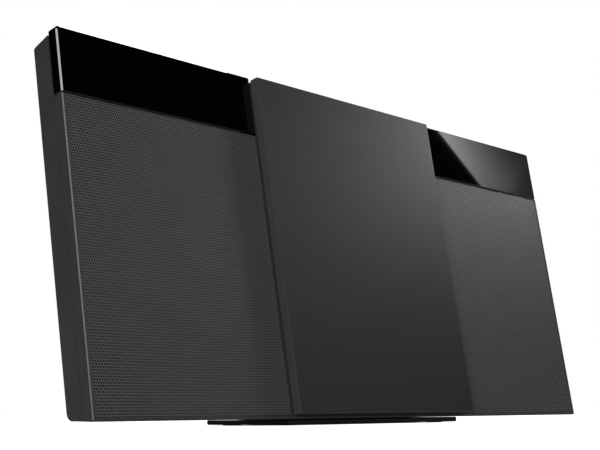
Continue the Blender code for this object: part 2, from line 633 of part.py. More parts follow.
def button_x(index):
    """Middle of a button along the row."""
    return (index - (len(BUTTON_NAMES) - 1) / 2) * BUTTON_PITCH


def make_buttons(body):
    """The row of sprung buttons along the cabinet's top."""
    for index, label in enumerate(BUTTON_NAMES):
        x = button_x(index)
        press = empty("press_" + label, body, (x, (BUTTON_Y[0] + BUTTON_Y[1]) / 2, BUTTON_TOP))
        half_depth = (BUTTON_Y[1] - BUTTON_Y[0]) / 2
        tall = (BUTTON_BOARD_TOP + GAP + BUTTON_TRAVEL - BUTTON_TOP, 0)
        width, depth = (-BUTTON_HALF, BUTTON_HALF), (-half_depth, half_depth)
        cap = box("button_" + label, SATIN, width, depth, tall, press)
        bevel(cap, 0.4)


def make_stand(body, floor):
    """The flat metal plate on four rubber feet, and the short neck that carries the cabinet."""
    y = (BASE_FRONT, BASE_FRONT + BASE_DEPTH)
    x = (-BASE_WIDTH / 2, BASE_WIDTH / 2)
    plate = box("stand_base", DARK_METAL, x, y, (BASE_BOTTOM, BASE_TOP), floor)
    bevel(plate, 0.8)
    near, far = 24.0, BASE_FRONT + BASE_DEPTH - 14.0

    def on_base(depth):
        return (BASE_TOP + GAP - BODY_LIFT + depth * SIN_LEAN) / COS_LEAN

    outline = [(near, on_base(near)), (far, on_base(far))]
    outline += [(far - 6, bulge_under_z(far - 6) - GAP), (near, bulge_under_z(near) - GAP)]
    prism("stand_neck", MOULDING, outline, (-NECK_HALF, NECK_HALF), "x", body)
    inset = 10.0
    for label_y, foot_y in (("front", y[0] + inset), ("rear", y[1] - inset)):
        for label_x, foot_x in (("left", x[0] + inset), ("right", x[1] - inset)):
            name = "foot_" + label_y + "_" + label_x
            cylinder(name, RUBBER, 5.0, FOOT_HEIGHT, (foot_x, foot_y, 0), "z", floor, 28)


def make_screws(body):
    """Two of the screws that hold the slim cabinet, one at each end."""
    for label, side in SIDES:
        place = (side * (HALF - 8), SLAB_DEPTH + GAP, FACE_HEIGHT / 2)
        profile = [(0, 0), (3.0, 0), (3.0, -0.7), (2.4, -1.3), (0, -1.3)]
        turned("case_screw_" + label, BRIGHT, profile, place, body, steps=20)


def settle(model):
    """Moves the whole model so that its box stands on z = 0 with its middle on the origin."""
    bpy.context.view_layer.update()
    depsgraph = bpy.context.evaluated_depsgraph_get()
    corners = []
    for obj in PARTS.objects:
        if obj.type == "MESH":
            made = obj.evaluated_get(depsgraph)
            corners += [made.matrix_world @ vert.co for vert in made.data.vertices]
    low = [min(corner[i] for corner in corners) for i in range(3)]
    high = [max(corner[i] for corner in corners) for i in range(3)]
    model.location = (-(low[0] + high[0]) / 2, -(low[1] + high[1]) / 2, -low[2])
    bpy.context.view_layer.update()


# Places that several pieces share.
BULGE_HALF = HALF - 16.0
BULGE_TOP = FACE_HEIGHT - 17.0
BULGE_OPEN_Z = (bulge_under_z(SLAB_DEPTH) + 3.5, BULGE_TOP - 3.5)
DISPLAY_CUT_X = (15.0 - HALF, -DOOR_HALF - 20.0)
DISPLAY_CUT_Z = (WINDOW_BOTTOM + 4.0, FRAME_TOP - 4.4)
RAIL_START_BOSS = (-DOOR_HALF - 4.5, -DOOR_HALF + 0.2)
RAIL_END_BOSS = (DOOR_TRAVEL - BAY_HALF + SHOE_LENGTH + 4.0, DOOR_TRAVEL - BAY_HALF + SHOE_LENGTH + 8.0)
DRIVER_Z = WINDOW_BOTTOM - 14.0 - DRIVER_RADIUS
RADIATOR_Z = RACK_PITCH_Z + 3.0 + RADIATOR_RADIUS
BUTTON_Y = (9.6, 14.6)
BUTTON_HALF = 6.5
BUTTON_TOP = top_z(BUTTON_Y[0]) + 0.8
BUTTON_BOARD_TOP = BAY_TOP + 4.0
BUTTON_SLOT_Z = (BUTTON_BOARD_TOP, FACE_HEIGHT + 1)
USB_PLACE, USB_HALF = (-14.0, 46.0), (7.0, 3.0)
ROUND_JACKS = {    # x, z, outer radius, bore radius, centre pin radius
    "dc_inlet": (-42.0, 46.0, 4.4, 2.8, 1.0),
    "aux_jack": (14.0, 46.0, 3.6, 1.8, 0.0),
    "antenna_socket": (42.0, 46.0, 4.8, 3.4, 0.9),
}
NECK_HALF = 42.0

for old in list(bpy.data.objects):
    bpy.data.objects.remove(old)

PARTS = bpy.data.collections.new("mini_hifi_system")
CUTTERS = bpy.data.collections.new("cutters")
bpy.context.scene.collection.children.link(PARTS)
bpy.context.scene.collection.children.link(CUTTERS)

MOULDING = material("moulded_plastic", (0.032, 0.032, 0.034), 0.5)
SATIN = material("satin_coated_panel", (0.05, 0.05, 0.053), 0.38, 0.3)
GLOSS = material("gloss_black", (0.006, 0.006, 0.007), 0.06)
STEEL = material("coated_steel", (0.06, 0.06, 0.062), 0.45, 0.6)
BRIGHT = material("bright_steel", (0.6, 0.6, 0.6), 0.25, 1.0)
DARK_METAL = material("dark_metal", (0.04, 0.04, 0.042), 0.35, 0.8)
NYLON = material("white_nylon", (0.75, 0.74, 0.7), 0.5)
PAPER = material("cone_paper", (0.02, 0.02, 0.02), 0.85)
BOARD = material("circuit_board", (0.02, 0.16, 0.07), 0.45)
GLASS = material("dark_glass", (0.01, 0.012, 0.016), 0.05)
RUBBER = material("black_rubber", (0.015, 0.015, 0.015), 0.9)

MODEL = empty("model")
FLOOR = empty("stand_frame", MODEL)
BODY = empty("lean_frame", MODEL, (0, 0, BODY_LIFT), (-math.radians(LEAN), 0, 0))

make_front_frame(BODY)
make_windows(BODY)
make_grilles(BODY)
make_mid_cabinet(BODY)
make_rear_cover(BODY)
make_door(BODY)
make_door_drive(BODY)
make_bay(BODY)
make_disc_drive(BODY)
make_speakers(BODY)
make_electronics(BODY)
make_buttons(BODY)
make_stand(BODY, FLOOR)
make_screws(BODY)
settle(MODEL)
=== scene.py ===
import json
import math

import bpy
import numpy as np
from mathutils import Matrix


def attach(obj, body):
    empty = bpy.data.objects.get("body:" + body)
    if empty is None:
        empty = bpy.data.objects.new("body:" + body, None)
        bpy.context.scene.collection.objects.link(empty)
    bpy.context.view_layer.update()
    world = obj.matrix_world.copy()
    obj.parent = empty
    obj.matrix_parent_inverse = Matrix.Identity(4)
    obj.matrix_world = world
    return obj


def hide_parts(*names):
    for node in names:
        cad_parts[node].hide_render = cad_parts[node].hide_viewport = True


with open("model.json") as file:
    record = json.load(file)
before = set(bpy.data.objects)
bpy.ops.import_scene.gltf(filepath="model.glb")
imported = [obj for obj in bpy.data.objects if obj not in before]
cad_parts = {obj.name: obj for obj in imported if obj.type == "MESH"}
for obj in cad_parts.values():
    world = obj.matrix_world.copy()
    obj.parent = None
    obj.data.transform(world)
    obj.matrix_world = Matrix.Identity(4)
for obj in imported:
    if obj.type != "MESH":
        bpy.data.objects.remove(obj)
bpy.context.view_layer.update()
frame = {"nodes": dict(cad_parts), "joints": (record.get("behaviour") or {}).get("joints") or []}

MM = 0.001
nodes = frame["nodes"]

# The leaning face. Everything in the cabinet is laid out on axes that lean back with it: x to the right,
# y from the face into the cabinet and z up along the face. The turntable's axle and the play button's
# stroke give those directions, because the one stands square to the face and the other runs down it.
joints = {joint["name"]: joint for joint in frame["joints"]}
FACE_OUT = np.array(joints["turntable_spin"]["axis"], float)
FACE_UP = -np.array(joints["press_play"]["axis"], float)
FACE_AXES = np.stack([np.array([1.0, 0.0, 0.0]), -FACE_OUT, FACE_UP])


def node_points(name):
    """A CAD node's vertices in millimetres along the face's x, y and z: each is the vertex times the axes."""
    mesh = nodes[name].data
    flat = np.empty(len(mesh.vertices) * 3)
    mesh.vertices.foreach_get("co", flat)
    return flat.reshape(-1, 3) @ FACE_AXES.T / MM


def node_span(name):
    """Lowest and highest x, y and z of a CAD node along the face's axes, in millimetres."""
    points = node_points(name)
    return points.min(axis=0), points.max(axis=0)



# Moulded cabinet: the front frame, the slim cabinet and the deep rear cover are black ABS, moulded with a
# fine spark texture and screwed together from behind. The texture breaks up every highlight a little.
FINE_DETAIL = 3.0
BROAD_DETAIL = 2.0
FINE_CELLS_IN_BROAD = 60.0
SMOOTHEST = 0.02


def finish(name, colour, roughness, metallic=0.0, grain=1400.0, depth=0.02, mottle=0.12, spread=0.08):
    """A finish from two noises on Object coordinates. The fine one, at grain cells a metre, gives the
    bump of depth millimetres and moves the roughness by spread; the broad one varies the colour by mottle."""
    made = bpy.data.materials.new(name)
    made.use_nodes = True
    tree = made.node_tree
    shader = tree.nodes["Principled BSDF"]
    coords = tree.nodes.new("ShaderNodeTexCoord")
    fine = tree.nodes.new("ShaderNodeTexNoise")
    fine.inputs["Scale"].default_value = grain
    fine.inputs["Detail"].default_value = FINE_DETAIL
    broad = tree.nodes.new("ShaderNodeTexNoise")
    broad.inputs["Scale"].default_value = grain / FINE_CELLS_IN_BROAD
    broad.inputs["Detail"].default_value = BROAD_DETAIL
    ramp = tree.nodes.new("ShaderNodeValToRGB")
    for stop, share in zip(ramp.color_ramp.elements, (1.0 - mottle, 1.0 + mottle)):
        stop.color = (*(channel * share for channel in colour), 1.0)
    ramp.color_ramp.elements[0].position = 0.3
    ramp.color_ramp.elements[1].position = 0.7
    rough = tree.nodes.new("ShaderNodeMapRange")
    rough.inputs["To Min"].default_value = max(roughness - spread, SMOOTHEST)
    rough.inputs["To Max"].default_value = min(roughness + spread, 1.0)
    bump = tree.nodes.new("ShaderNodeBump")
    bump.inputs["Strength"].default_value = 1.0
    bump.inputs["Distance"].default_value = depth * MM
    for source, socket in ((fine, rough.inputs["Value"]), (broad, ramp.inputs["Fac"])):
        tree.links.new(coords.outputs["Object"], source.inputs["Vector"])
        tree.links.new(source.outputs["Fac"], socket)
    tree.links.new(fine.outputs["Fac"], bump.inputs["Height"])
    tree.links.new(ramp.outputs["Color"], shader.inputs["Base Color"])
    tree.links.new(rough.outputs["Result"], shader.inputs["Roughness"])
    tree.links.new(bump.outputs["Normal"], shader.inputs["Normal"])
    shader.inputs["Metallic"].default_value = metallic
    return made


def dress(made, *names):
    """Gives CAD nodes a finish in place of their plain one."""
    for name in names:
        for slot in nodes[name].material_slots:
            slot.material = made


moulded_black = finish("moulded_black", (0.030, 0.030, 0.031), 0.48, grain=2200.0, depth=0.012)
dress(moulded_black, "front_frame", "mid_cabinet", "rear_cover", "stand_neck")

# Grilles: a thin steel sheet on each side, punched with staggered holes right up to its narrow plain rim,
# powder coated dark grey and held in the frame's rebate. A black acoustic cloth lies behind each sheet.
# A sheet is made in a lower and an upper half that share the edge where they meet.
HOLES_ACROSS = 85
HOLE_ROWS = 107
HOLE_RADIUS = 0.58
SHEET_THICKNESS = 0.4
SHEET_RIM = 0.4
RIM_OVERLAP = 0.15
RIM_PROUD = 0.02
RIM_JOINT = 0.01
CLOTH_GAP = 0.09
CLOTH_THICKNESS = 0.17
CLOTH_INSET = 0.2
CELL_NEIGHBOURS = ((1, 0), (1, -1), (0, -1), (-1, -1), (-1, 0), (0, 1))


def new_piece(name, points, faces, body, made, smooth=False):
    """A mesh piece from points in face millimetres. Each point is carried to the room by the face's axes,
    and points that share a place become one."""
    placed, index = np.unique(np.round(np.asarray(points, float), 4), axis=0, return_inverse=True)
    index = index.ravel()
    mesh = bpy.data.meshes.new(name)
    mesh.from_pydata(placed * MM @ FACE_AXES, [], [index[face].tolist() for face in faces])
    mesh.materials.append(made)
    mesh.polygons.foreach_set("use_smooth", np.full(len(mesh.polygons), smooth))
    mesh.validate()
    piece = bpy.data.objects.new(name, mesh)
    bpy.context.scene.collection.objects.link(piece)
    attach(piece, body)
    return piece


def perforated(low, high, first_row, last_row):
    """Part of a sheet of six-sided cells, each round a six-sided hole. Cell centres step by the sheet's
    width / (holes + 1/2) along x and row by row up z, odd rows moved half a step. A cell's corners are the
    points that lie equally far from three centres, the hole's are the hole radius away at 30, 90, 150
    degrees and so on. Both rings are laid at the sheet's front and back, flats join them on each side,
    walls line the hole, and more walls close the cells that have no neighbour."""
    across = (high[0] - low[0] - 2 * RIM_OVERLAP) / (HOLES_ACROSS + 0.5)
    tall = high[2] - low[2] - 2 * RIM_OVERLAP
    rise = (tall - across ** 2 / (4 * tall / HOLE_ROWS)) / HOLE_ROWS
    tip, shoulder = rise / 2 + across ** 2 / (8 * rise), rise / 2 - across ** 2 / (8 * rise)
    corners = np.array([(across / 2, shoulder), (0, tip), (-across / 2, shoulder)])
    corners = np.concatenate([corners, -corners])
    turns = np.radians(30 + 60 * np.arange(6))
    hole = HOLE_RADIUS * np.stack([np.cos(turns), np.sin(turns)], axis=1)
    row, column = np.meshgrid(np.arange(first_row, last_row), np.arange(HOLES_ACROSS), indexing="ij")
    row, column = row.ravel(), column.ravel()
    centre_x = low[0] + RIM_OVERLAP + (column + 0.5 + 0.5 * (row % 2)) * across
    centre_z = low[2] + RIM_OVERLAP + tip + row * rise
    layers = ((corners, low[1]), (hole, low[1]), (hole, high[1]), (corners, high[1]))
    rings = [np.column_stack([ring[:, 0], np.full(6, y), ring[:, 1]]) for ring, y in layers]
    cell = np.concatenate(rings)
    offsets = np.column_stack([centre_x, np.zeros(len(row)), centre_z])
    points = (offsets[:, None, :] + cell[None, :, :]).reshape(-1, 3)
    here, after = np.arange(6), (np.arange(6) + 1) % 6
    band = np.column_stack([here, after, after + 6, here + 6])
    quads = np.concatenate([band, band + 6, band + 12])
    faces = [(len(cell) * np.arange(len(row))[:, None, None] + quads[None, :, :]).reshape(-1, 4)]
    for side, (up, along) in enumerate(CELL_NEIGHBOURS):
        near_row = row + up
        near_column = column + along + (row % 2 if up else 0)
        alone = (near_row < first_row) | (near_row >= last_row)
        alone |= (near_column < 0) | (near_column >= HOLES_ACROSS)
        wall = np.array([after[side], here[side], here[side] + 18, after[side] + 18])
        faces.append(len(cell) * np.flatnonzero(alone)[:, None] + wall[None, :])
    return points, np.concatenate(faces)


def box_points(low, high):
    """The eight corners and six faces of a box between two corners, faces turned outwards."""
    pick = np.array([[i >> 2 & 1, i >> 1 & 1, i & 1] for i in range(8)])
    points = np.where(pick, high, low)
    faces = np.array([[0, 1, 3, 2], [4, 6, 7, 5], [0, 4, 5, 1], [2, 3, 7, 6], [0, 2, 6, 4], [1, 5, 7, 3]])
    return points, faces


def gathered(shapes):
    """Several (points, faces) pairs as one: each pair's face numbers move up by the points before it."""
    points, faces, count = [], [], 0
    for shape_points, shape_faces in shapes:
        points.append(shape_points)
        faces += [np.asarray(face) + count for face in shape_faces]
        count += len(shape_points)
    return np.concatenate(points), faces


def cloth_sheet(low, high, columns=48, rows=60, wave=0.03):
    """A closed thin cloth on a grid of (u, v) in 0..1. Its front lies at the low y plus
    wave * sin(9 u) * sin(11 v), its back at the high y, and strips join their four edges."""
    u, v = np.meshgrid(np.linspace(0, 1, columns), np.linspace(0, 1, rows), indexing="ij")
    x, z = low[0] + u * (high[0] - low[0]), low[2] + v * (high[2] - low[2])
    front = np.stack([x, low[1] + wave * np.sin(9 * u) * np.sin(11 * v), z], axis=2).reshape(-1, 3)
    back = np.stack([x, np.full_like(x, high[1]), z], axis=2).reshape(-1, 3)
    number = np.arange(columns * rows).reshape(columns, rows)
    a, b, c, d = number[:-1, :-1], number[1:, :-1], number[1:, 1:], number[:-1, 1:]
    plain = np.stack([a, b, c, d], axis=2).reshape(-1, 4)
    border = np.concatenate([number[:-1, 0], number[-1, :-1], number[:0:-1, -1], number[0, :0:-1]])
    onward = np.roll(border, -1)
    count = columns * rows
    edge = np.column_stack([onward, border, border + count, onward + count])
    return np.concatenate([front, back]), np.concatenate([plain, plain[:, ::-1] + count, edge])


coated_steel = finish("coated_steel", (0.085, 0.085, 0.087), 0.40, 0.1, grain=2600.0, depth=0.006,
                      mottle=0.03)
acoustic_cloth = finish("acoustic_cloth", (0.002, 0.002, 0.002), 0.95, grain=2400.0, depth=0.08)
dress(coated_steel, "grille_left", "grille_right")
for side in ("left", "right"):
    low, high = node_span("grille_" + side)
    cloth_front = high[1] + CLOTH_GAP
    high[1] = low[1] + SHEET_THICKNESS
    rim_y = (low[1] - RIM_PROUD, high[1] + RIM_PROUD)
    left, right = low[0] + SHEET_RIM, high[0] - SHEET_RIM
    foot, head = low[2] + SHEET_RIM, high[2] - SHEET_RIM
    middle_row, middle_z = HOLE_ROWS // 2, (low[2] + high[2]) / 2
    for half, rows, rim_z, upright_z in (
        ("lower", (0, middle_row), (low[2], foot), (foot, middle_z)),
        ("upper", (middle_row, HOLE_ROWS), (head, high[2]), (middle_z, head)),
    ):
        rims = [
            box_points((x_low, rim_y[0], z_low), (x_high, rim_y[1], z_high))
            for (x_low, x_high), (z_low, z_high) in (
                ((low[0], high[0]), rim_z),
                ((low[0] + RIM_JOINT, left), upright_z),
                ((right, high[0] - RIM_JOINT), upright_z),
            )
        ]
        points, faces = gathered([perforated(low, high, *rows), *rims])
        grille = new_piece("grille_sheet_" + side + "_" + half, points, faces, "cabinet", coated_steel)
        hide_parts("grille_" + side)
    cloth_low = (low[0] + CLOTH_INSET, cloth_front, low[2] + CLOTH_INSET)
    cloth_high = (high[0] - CLOTH_INSET, cloth_front + CLOTH_THICKNESS, high[2] - CLOTH_INSET)
    points, faces = cloth_sheet(cloth_low, cloth_high)
    cloth = new_piece("grille_cloth_" + side, points, faces, "cabinet", acoustic_cloth, True)

# Windows: two strips of gloss black acrylic that wrap round the cabinet's ends, polished on every face and
# bonded to the frame. The left one covers the display.
gloss_black = finish("gloss_black", (0.0004, 0.0004, 0.0005), 0.024, grain=300.0, depth=0.0003,
                     spread=0.004)
dress(gloss_black, "window_left", "window_right")
display_glass = finish("display_glass", (0.008, 0.010, 0.012), 0.08, grain=500.0, depth=0.001, spread=0.02)
dress(display_glass, "display_module")

# Door: an aluminium skin on a moulded liner, coated satin graphite and left matt on its two upright edges.
# It hangs on two nylon shoes that run on steel rails, and a rack on the lower shoe moves it.
EDGE_START = 0.4
EDGE_ROUGHNESS = 0.75


def maths(tree, operation, *values):
    """The result of a Math node whose inputs are other nodes' sockets or plain numbers, in order."""
    node = tree.nodes.new("ShaderNodeMath")
    node.operation = operation
    for socket, value in zip(node.inputs, values):
        if isinstance(value, bpy.types.NodeSocket):
            tree.links.new(value, socket)
        else:
            socket.default_value = value
    return node.outputs["Value"]


satin_graphite = finish("satin_graphite", (0.027, 0.027, 0.028), 0.30, grain=3200.0, depth=0.002, mottle=0.05,
                        spread=0.03)
tree = satin_graphite.node_tree
roughness = tree.nodes["Principled BSDF"].inputs["Roughness"]
door_reach = node_span("door_panel")[1][0]
coords = tree.nodes.new("ShaderNodeTexCoord")
split = tree.nodes.new("ShaderNodeSeparateXYZ")
tree.links.new(coords.outputs["Object"], split.inputs["Vector"])
edge = tree.nodes.new("ShaderNodeMapRange")
edge.inputs["From Min"].default_value = (door_reach - EDGE_START) * MM
edge.inputs["From Max"].default_value = (door_reach - EDGE_START / 2) * MM
edge.inputs["To Max"].default_value = EDGE_ROUGHNESS
tree.links.new(maths(tree, "ABSOLUTE", split.outputs["X"]), edge.inputs["Value"])
rougher = maths(tree, "MAXIMUM", edge.outputs["Result"], roughness.links[0].from_socket)
tree.links.new(rougher, roughness)
dress(satin_graphite, "door_panel")
black_nylon = finish("black_nylon", (0.035, 0.035, 0.036), 0.42, grain=900.0, depth=0.01)
dress(black_nylon, "door_shoe_upper", "door_shoe_lower", "door_rack", "door_pinion")
dress(moulded_black, "door_liner")
drawn_steel = finish("drawn_steel", (0.55, 0.55, 0.56), 0.24, 1.0, grain=1200.0, depth=0.004)
dress(drawn_steel, "door_rail_upper", "door_rail_lower", "door_motor", "spindle_motor", "feed_motor")
dress(drawn_steel, "guide_rod_left", "guide_rod_right", "feed_screw", "case_screw_left", "case_screw_right",
      "usb_port")

# Disc bay: a moulded tray with a round recess, and behind it the pressed chassis, the turntable on its
# motor and the pickup. The hub holds the disc with three sprung steel balls over a rubber ring, and three
# low ridges round the recess keep a disc off its floor.
BALL_RADIUS = 0.9
BALL_REACH = 7.1
BALL_DEPTH = 2.6
BALL_TURNS = (90, 210, 330)
FLANGE_HEIGHT = 4.4
MAT_PROFILE = ((14.6, -0.05), (14.6, -0.45), (14.2, -0.6), (10.6, -0.6), (10.2, -0.45), (10.2, -0.05))
RIDGE_RADII = (26.0, 40.0, 54.0)
RIDGE_GAP = 28.0
RIDGE_RISE = 0.35
RIDGE_HALF_WIDTH = 0.7
RIDGE_ROOT = 0.05
FLOOR_THICKNESS = 1.5
tray_black = finish("tray_black", (0.022, 0.022, 0.023), 0.33, grain=1800.0, depth=0.008)
dress(tray_black, "bay_tray", "turntable")
pressed_steel = finish("pressed_steel", (0.42, 0.42, 0.41), 0.32, 1.0, grain=800.0, depth=0.006)
dress(pressed_steel, "disc_chassis", "driver_frame_left", "driver_frame_right", "radiator_frame_left",
      "radiator_frame_right")
cast_zinc = finish("cast_zinc", (0.30, 0.30, 0.31), 0.45, 0.9, grain=700.0, depth=0.012)
dress(cast_zinc, "pickup_sled")
lens_glass = finish("lens_glass", (0.05, 0.02, 0.09), 0.04, grain=900.0, depth=0.0003, spread=0.01)
dress(lens_glass, "pickup_lens")
hub_low, hub_high = node_span("turntable")
hub_x, hub_z = (hub_low[0] + hub_high[0]) / 2, (hub_low[2] + hub_high[2]) / 2


def turned(profile, centre, steps=48):
    """A profile of (radius, depth) points turned about an axis square to the face through centre. Point i
    at step j lies at the centre plus radius times (cos, sin) of the step's turn, at its own depth."""
    profile = np.asarray(profile, float)
    turns = 2 * math.pi * np.arange(steps) / steps
    points = np.stack([
        centre[0] + profile[:, 0][:, None] * np.cos(turns),
        np.repeat(profile[:, 1][:, None], steps, axis=1),
        centre[1] + profile[:, 0][:, None] * np.sin(turns),
    ], axis=2).reshape(-1, 3)
    ring, step = np.meshgrid(np.arange(len(profile)), np.arange(steps), indexing="ij")
    ring, step = ring.ravel(), step.ravel()
    here, following, turn = ring * steps, (ring + 1) % len(profile) * steps, (step + 1) % steps
    return points, np.column_stack([here + step, here + turn, following + turn, following + step])


hub_rubber = finish("hub_rubber", (0.018, 0.018, 0.018), 0.85, grain=1500.0, depth=0.02)
mat_profile = np.array(MAT_PROFILE) + (0.0, hub_high[1] - FLANGE_HEIGHT)
mat = new_piece("turntable_mat", *turned(mat_profile, (hub_x, hub_z)), "disc_turntable", hub_rubber, True)
arc = np.radians(np.linspace(4, 176, 12))
ball_profile = np.column_stack([BALL_RADIUS * np.sin(arc), -BALL_RADIUS * np.cos(arc)])[::-1]
ball_profile[:, 1] += hub_low[1] + BALL_DEPTH
balls = []
for turn in np.radians(BALL_TURNS):
    centre = (hub_x + BALL_REACH * math.cos(turn), hub_z + BALL_REACH * math.sin(turn))
    balls.append(turned(ball_profile, centre, 16))
ball_piece = new_piece("turntable_balls", *gathered(balls), "disc_turntable", drawn_steel, True)



def arc_ridge(radius, centre, floor, steps=90):
    """A low ridge round part of a circle. Its section is a half hexagon, carried from RIDGE_GAP past
    straight down round to RIDGE_GAP before it, and closed at both ends."""
    side, low, top = RIDGE_HALF_WIDTH, -RIDGE_RISE * 0.4, -RIDGE_RISE
    section = np.array([(-side, RIDGE_ROOT), (-side, low), (-side / 2, top), (side / 2, top), (side, low),
                        (side, RIDGE_ROOT)])
    turns = np.radians(np.linspace(RIDGE_GAP - 90, 270 - RIDGE_GAP, steps))[:, None]
    reach = radius + section[:, 0][None, :]
    depth = np.tile(floor + section[:, 1], (steps, 1))
    points = np.stack([centre[0] + reach * np.cos(turns), depth, centre[1] + reach * np.sin(turns)], axis=2)
    number = np.arange(steps * 6).reshape(steps, 6)
    following = np.roll(number, -1, axis=1)
    sides = np.stack([following[:-1], following[1:], number[1:], number[:-1]], axis=2).reshape(-1, 4)
    ends = np.array([[3, 2, 1, 0], [5, 4, 3, 0]])
    return points.reshape(-1, 3), np.concatenate([sides, ends, ends[:, ::-1] + (steps - 1) * 6])


tray_floor = node_span("bay_tray")[1][1] - FLOOR_THICKNESS
ridges = [arc_ridge(radius, (hub_x, hub_z), tray_floor) for radius in RIDGE_RADII]
tray_ridges = new_piece("tray_ridges", *gathered(ridges), "cabinet", tray_black)

# Speakers and boards: pressed paper cones, dyed black, in steel frames, and glass-fibre boards in green
# resist. An extruded aluminium heat sink is screwed to the amplifier's board.
cone_paper = finish("cone_paper", (0.016, 0.016, 0.016), 0.9, grain=700.0, depth=0.05)
dress(cone_paper, "driver_cone_left", "driver_cone_right", "radiator_cone_left", "radiator_cone_right")
board_green = finish("board_green", (0.015, 0.12, 0.05), 0.4, grain=600.0, depth=0.01, mottle=0.25)
dress(board_green, "main_board", "amplifier_board", "button_board", "display_board")
sink_aluminium = finish("sink_aluminium", (0.62, 0.62, 0.63), 0.35, 1.0, grain=500.0, depth=0.01)
dress(sink_aluminium, "heat_sink")

# Buttons: seven moulded satin caps in the cabinet's top, each with a printed white symbol. They are sprung
# from the board below and stand a little above the slope.
button_satin = finish("button_satin", (0.045, 0.045, 0.047), 0.36, grain=2600.0, depth=0.004)
printed_white = finish("printed_white", (0.62, 0.62, 0.62), 0.55, grain=3000.0, depth=0.002)
MARK_RISE = 0.05
RING_RADII = (0.75, 0.96)


def bar(x, y, half_x, half_y):
    """A rectangle's four corners round (x, y)."""
    left, right, low, high = x - half_x, x + half_x, y - half_y, y + half_y
    return [(left, low), (right, low), (right, high), (left, high)]


def arrow(x, way, reach=0.8):
    """A triangle whose point lies towards way, half the reach from its middle x."""
    back, tip, half = x - way * reach / 2, x + way * reach / 2, reach * 0.7
    return [(back, -half), (tip, 0.0), (back, half)]


def power_ring():
    """An open ring between two radii, out along the larger arc and back along the smaller one, with a gap at
    the top for the stroke."""
    turns = np.radians(np.linspace(125, 415, 15))
    way = np.stack([np.cos(turns), np.sin(turns)], axis=1)
    ring = np.concatenate([way * RING_RADII[1], way[::-1] * RING_RADII[0]]).tolist()
    return [ring, bar(0, RING_RADII[0], 0.12, 0.45)]


SYMBOLS = {
    "power": power_ring(),
    "source": [bar(-0.2, 0.75, 0.9, 0.1), bar(-0.2, -0.75, 0.9, 0.1), bar(-1.0, 0, 0.1, 0.75), arrow(0.9, 1)],
    "previous": [arrow(0.5, -1), arrow(-0.3, -1), bar(-0.85, 0, 0.1, 0.56)],
    "play": [arrow(-0.6, 1, 1.1), bar(0.45, 0, 0.13, 0.7), bar(0.95, 0, 0.13, 0.7)],
    "next": [arrow(-0.5, 1), arrow(0.3, 1), bar(0.85, 0, 0.1, 0.56)],
    "volume_down": [bar(0, 0, 0.75, 0.13)],
    "volume_up": [bar(0, 0, 0.75, 0.13), bar(0, 0, 0.13, 0.75)],
}


def printed(polygons, x, y, z):
    """Flat shapes a hair above a surface: each polygon's points at z plus the rise, seen from above. The
    depth runs away from the reader, so a symbol's up lies along +y."""
    points, faces = [], []
    for polygon in polygons:
        first = len(points)
        points += [(x + px, y + py, z + MARK_RISE) for px, py in polygon]
        points += [(x + px, y + py, z) for px, py in polygon]
        count = len(polygon)
        pairs = zip(polygon, polygon[1:] + polygon[:1])
        area = sum(x_here * y_after - x_after * y_here for (x_here, y_here), (x_after, y_after) in pairs)
        order = list(range(count)) if area > 0 else list(range(count))[::-1]
        faces.append([first + i for i in order])
        faces.append([first + count + i for i in order[::-1]])
        for i, here in enumerate(order):
            after = order[(i + 1) % count]
            faces.append([first + after, first + here, first + count + here, first + count + after])
    return points, faces


for label, polygons in SYMBOLS.items():
    low, high = node_span("button_" + label)
    dress(button_satin, "button_" + label)
    middle = (low + high) / 2
    points, faces = printed(polygons, middle[0], middle[1], high[2])
    mark = new_piece("mark_" + label, points, faces, "button_" + label, printed_white)

# Rear: black moulded jacks in the rear cover, each in a raised collar, a blank rating plate, a panel of
# moulded vent ribs near the top on a near-black matt pad, which is painted shade for the dark slots between
# the ribs, and four steel screws in the corners. A profile gives (radius, depth behind the cover), where a
# collar's radius counts from the jack's.
COLLAR_PROFILE = ((0.5, -0.3), (0.5, 0.35), (0.8, 0.6), (1.5, 0.6), (1.9, 0.2), (1.9, -0.3))
PLATE_PLACE, PLATE_HALF, PLATE_RISE = (64.0, 60.0), (30.0, 12.0), 0.15
VENT_HALF, VENT_RISE, VENT_DROP = (62.0, 22.0), 0.1, 58.0
RIB_COUNT, RIB_PITCH, RIB_HALF, RIB_RISE = 13, 3.2, (60.0, 1.0), 0.9
SCREW_PLACES = ((-120.0, 30.0), (120.0, 30.0), (-120.0, 150.0), (120.0, 150.0))
SCREW_PROFILE = ((0.4, -0.2), (0.4, 0.1), (1.4, 0.3), (1.7, 0.8), (2.8, 0.75), (3.4, 0.25), (3.4, -0.2))
PAD_ROOT = 0.3
SQUARE_CORNERS = 24.0
ROUNDED_CORNERS = 12.0
cover_low, cover_high = node_span("rear_cover")
back = cover_high[1]
jack_black = finish("jack_black", (0.012, 0.012, 0.012), 0.3, grain=1500.0, depth=0.006)
dress(jack_black, "dc_inlet", "aux_jack", "antenna_socket")
for name in ("dc_inlet", "aux_jack", "antenna_socket"):
    low, high = node_span(name)
    profile = np.array(COLLAR_PROFILE) + ((high[0] - low[0]) / 2, back)
    points, faces = turned(profile, ((low[0] + high[0]) / 2, (low[2] + high[2]) / 2))
    collar = new_piece("collar_" + name, points, faces, "cabinet", moulded_black, True)


